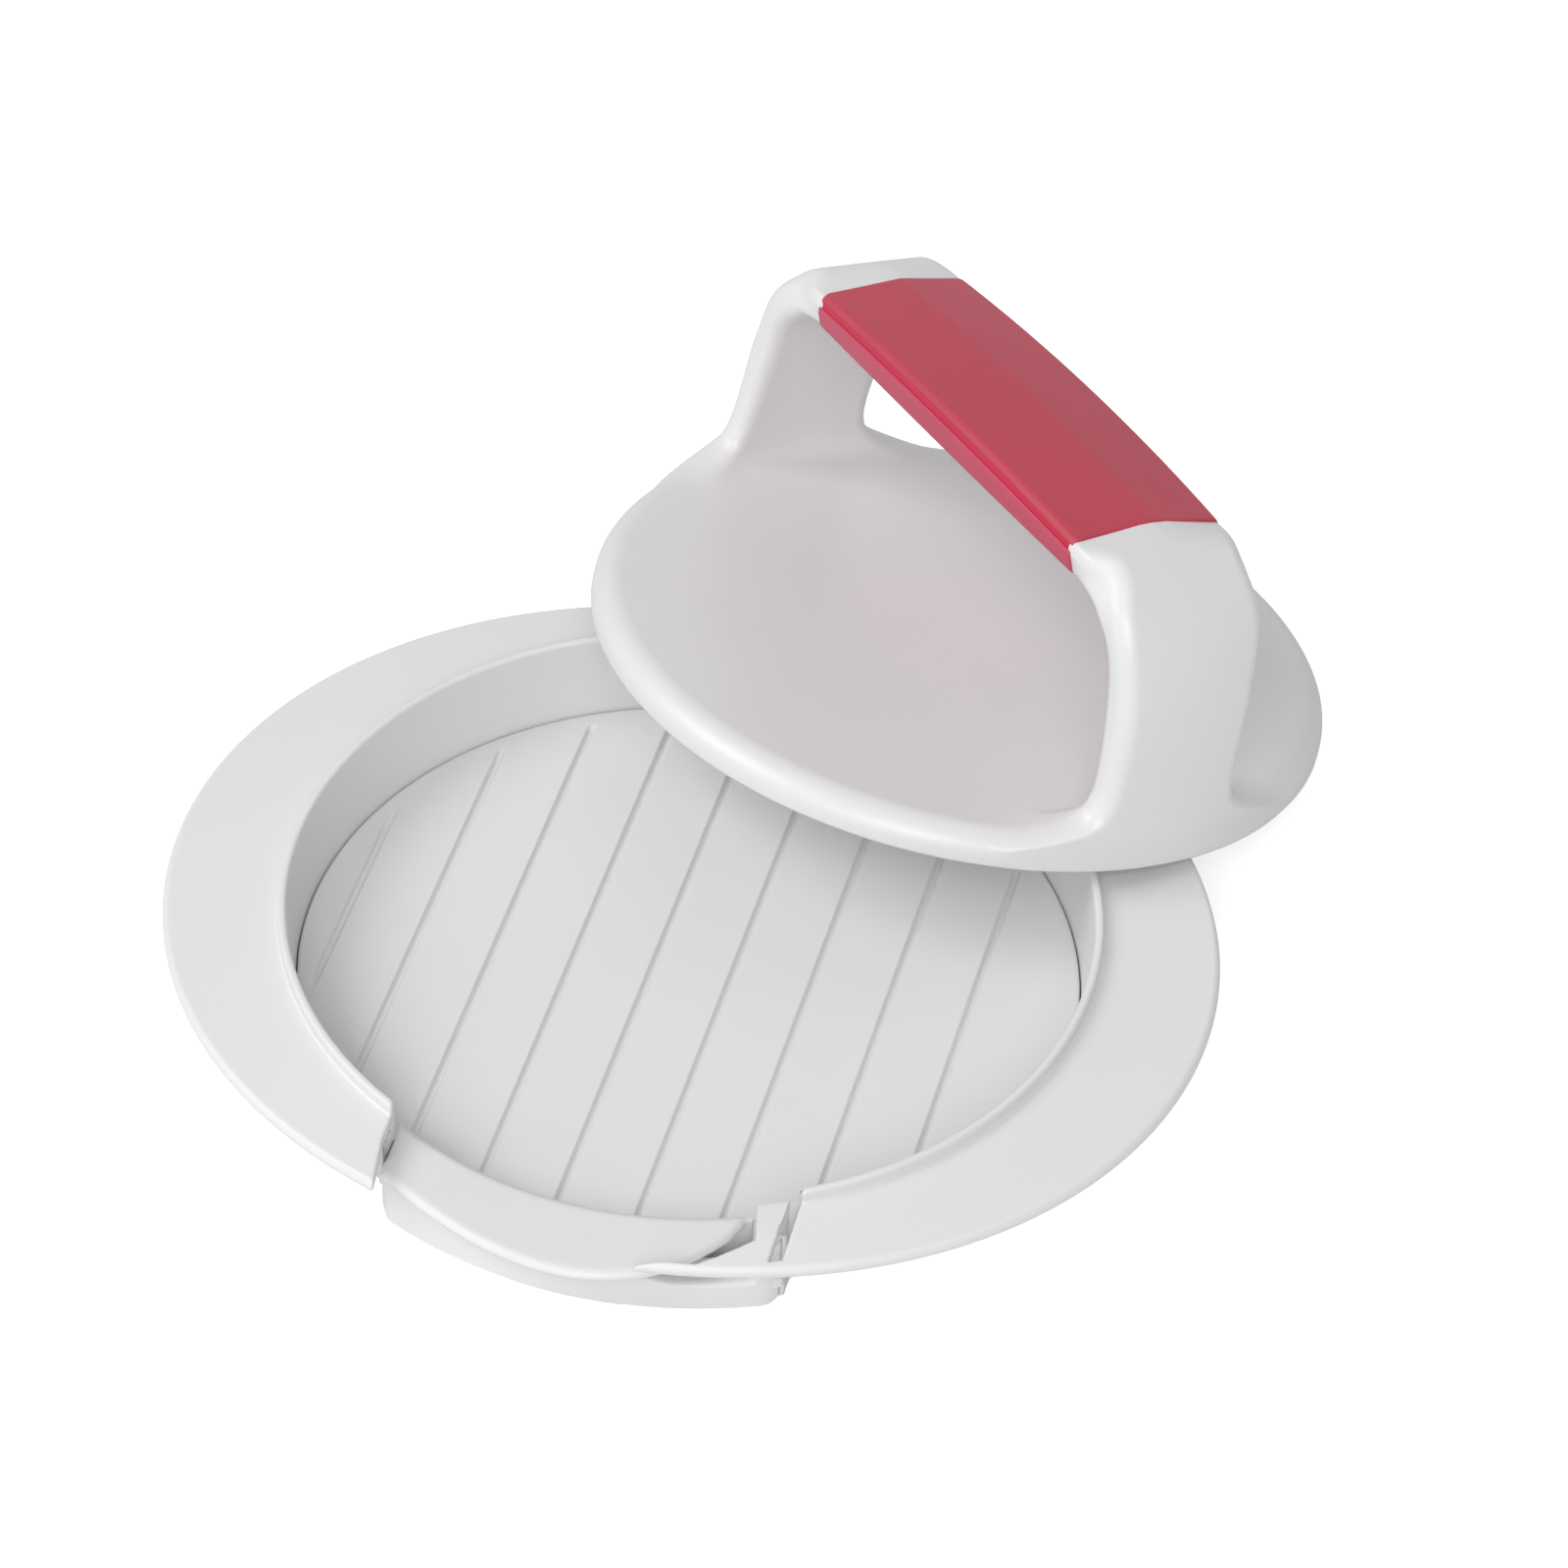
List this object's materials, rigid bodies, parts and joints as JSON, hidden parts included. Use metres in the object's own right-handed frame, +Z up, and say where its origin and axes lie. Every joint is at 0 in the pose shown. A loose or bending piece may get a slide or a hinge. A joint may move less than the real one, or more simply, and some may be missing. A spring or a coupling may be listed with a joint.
{
  "type": "burger press",
  "caption": "Oval-flanged dish with a lift-out lined tray and a round hand press with a red saddle grip, for shaping patties; the press leans on the dish.",
  "frame": {"origin": "the cavity axis on the underside of the dish, at table level", "axes": "+Z up, +X along the long way of the oval flange, -Y towards the tab at the front"},
  "size_m": [0.1507, 0.1857, 0.0599],
  "materials": {
    "white_plastic": "satin moulded white",
    "tray_plastic": "satin moulded white",
    "press_plastic": "smooth semi-gloss white",
    "plate_plastic": "satin moulded white",
    "grip_top": "soft matte red",
    "grip_edge": "soft satin red"
  },
  "bodies": {
    "base": {"dish": "white_plastic"},
    "tray": {"lift_tray": "tray_plastic"},
    "press": {"press_shell": "press_plastic", "press_plate": "plate_plastic", "grip_cover": "grip_top", "grip_underside": "grip_edge"}
  },
  "joints": [
    {"name": "tray_lift", "type": "slide", "parent": "base", "child": "tray", "axis": [0, 0, 1], "range_m": [0, 0.01]},
    {"name": "press_lift", "type": "slide", "parent": "base", "child": "press", "axis": [0, 0, 1], "range_m": [0, 0.1]}
  ]
}
